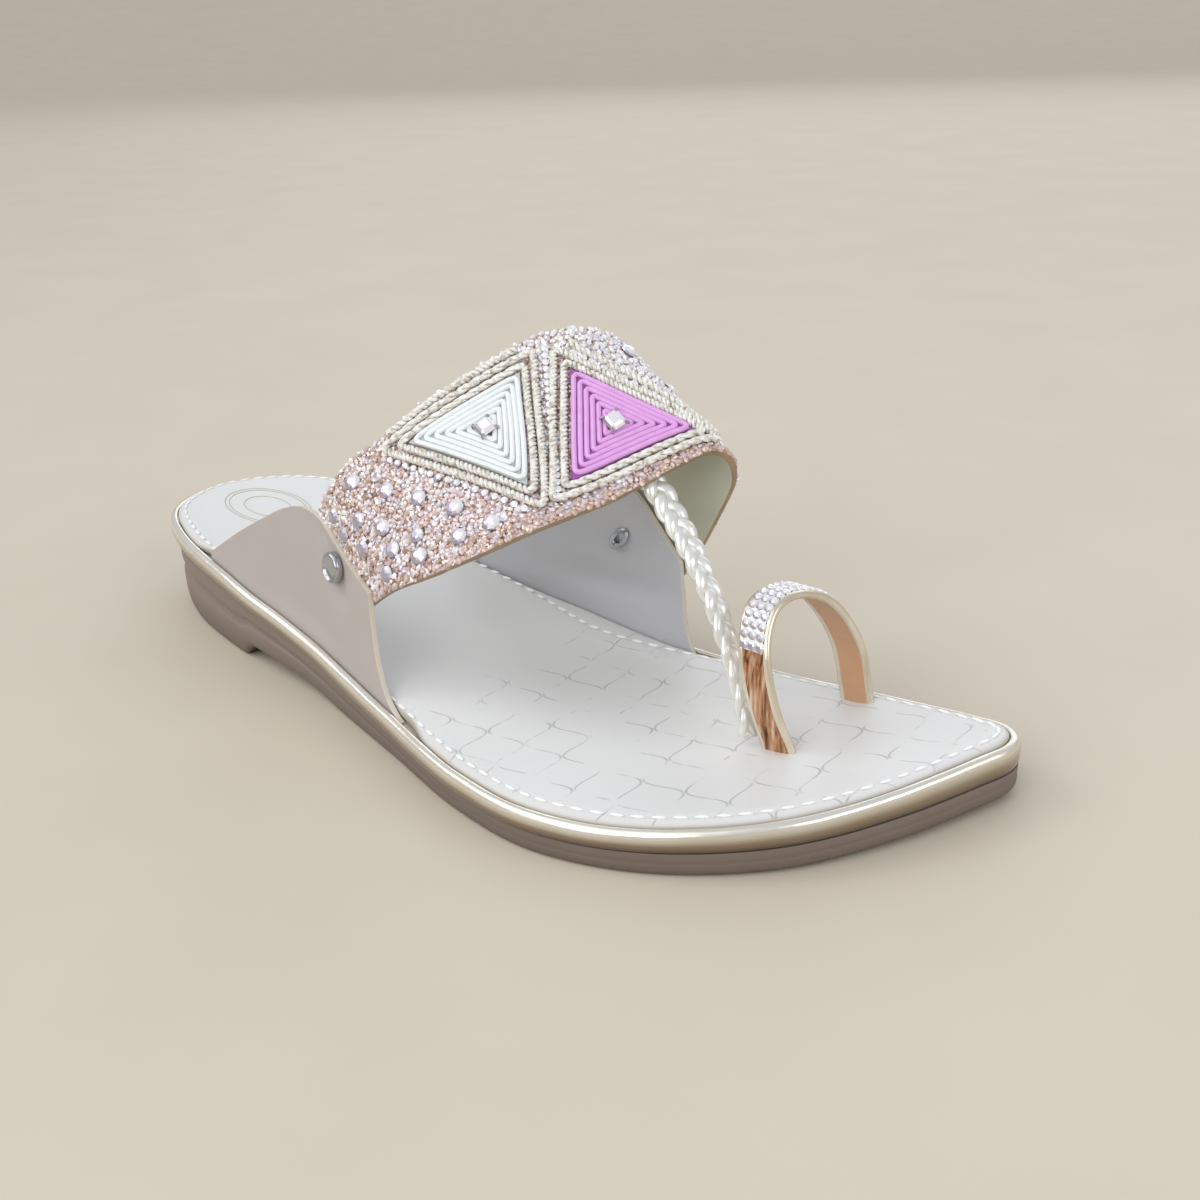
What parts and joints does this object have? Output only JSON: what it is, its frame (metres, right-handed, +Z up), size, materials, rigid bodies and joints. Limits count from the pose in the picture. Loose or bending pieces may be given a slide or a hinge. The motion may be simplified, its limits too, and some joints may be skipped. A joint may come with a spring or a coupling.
{
  "type": "sandal",
  "caption": "Right-foot toe-loop sandal: wide jewelled band between leather wings, plaited strap to a toe loop, padded footbed on a moulded sole.",
  "frame": {"origin": "Middle of the shoe's bounding box, at floor level.", "axes": "+X heel to toe, +Y towards the inner (medial) side, +Z up."},
  "size_m": [0.2548, 0.0912, 0.089],
  "materials": {
    "outsole_rubber": "matte moulded polyurethane",
    "rim_metallic": "champagne-gold metallic coated trim",
    "footbed_leather": "smooth off-white, printed and stitched",
    "wing_leather": "smooth taupe-beige, satin",
    "band_fabric": "glitter cloth on a lined leather strap",
    "white_cord": "satin cord",
    "pink_cord": "satin cord",
    "rope_metallic": "pale gold metallic twisted cord",
    "crystal": "clear faceted, foil backed",
    "rivet_metal": "nickel-plated",
    "braid_metallic": "silver metallic, plaited",
    "loop_metallic": "rose-gold metallic"
  },
  "bodies": {
    "root": {"outsole": "outsole_rubber", "midsole_rim": "rim_metallic", "insole": "footbed_leather", "wing_lateral": "wing_leather", "wing_medial": "wing_leather", "vamp_band": "band_fabric", "cord_triangle_white": "white_cord", "cord_triangle_pink": "pink_cord", "rope_frame_lateral": "rope_metallic", "rope_frame_medial": "rope_metallic", "crystal_lateral": "crystal", "crystal_medial": "crystal", "rivet_lateral": "rivet_metal", "rivet_medial": "rivet_metal", "toe_braid": "braid_metallic", "toe_loop": "loop_metallic"}
  },
  "joints": []
}
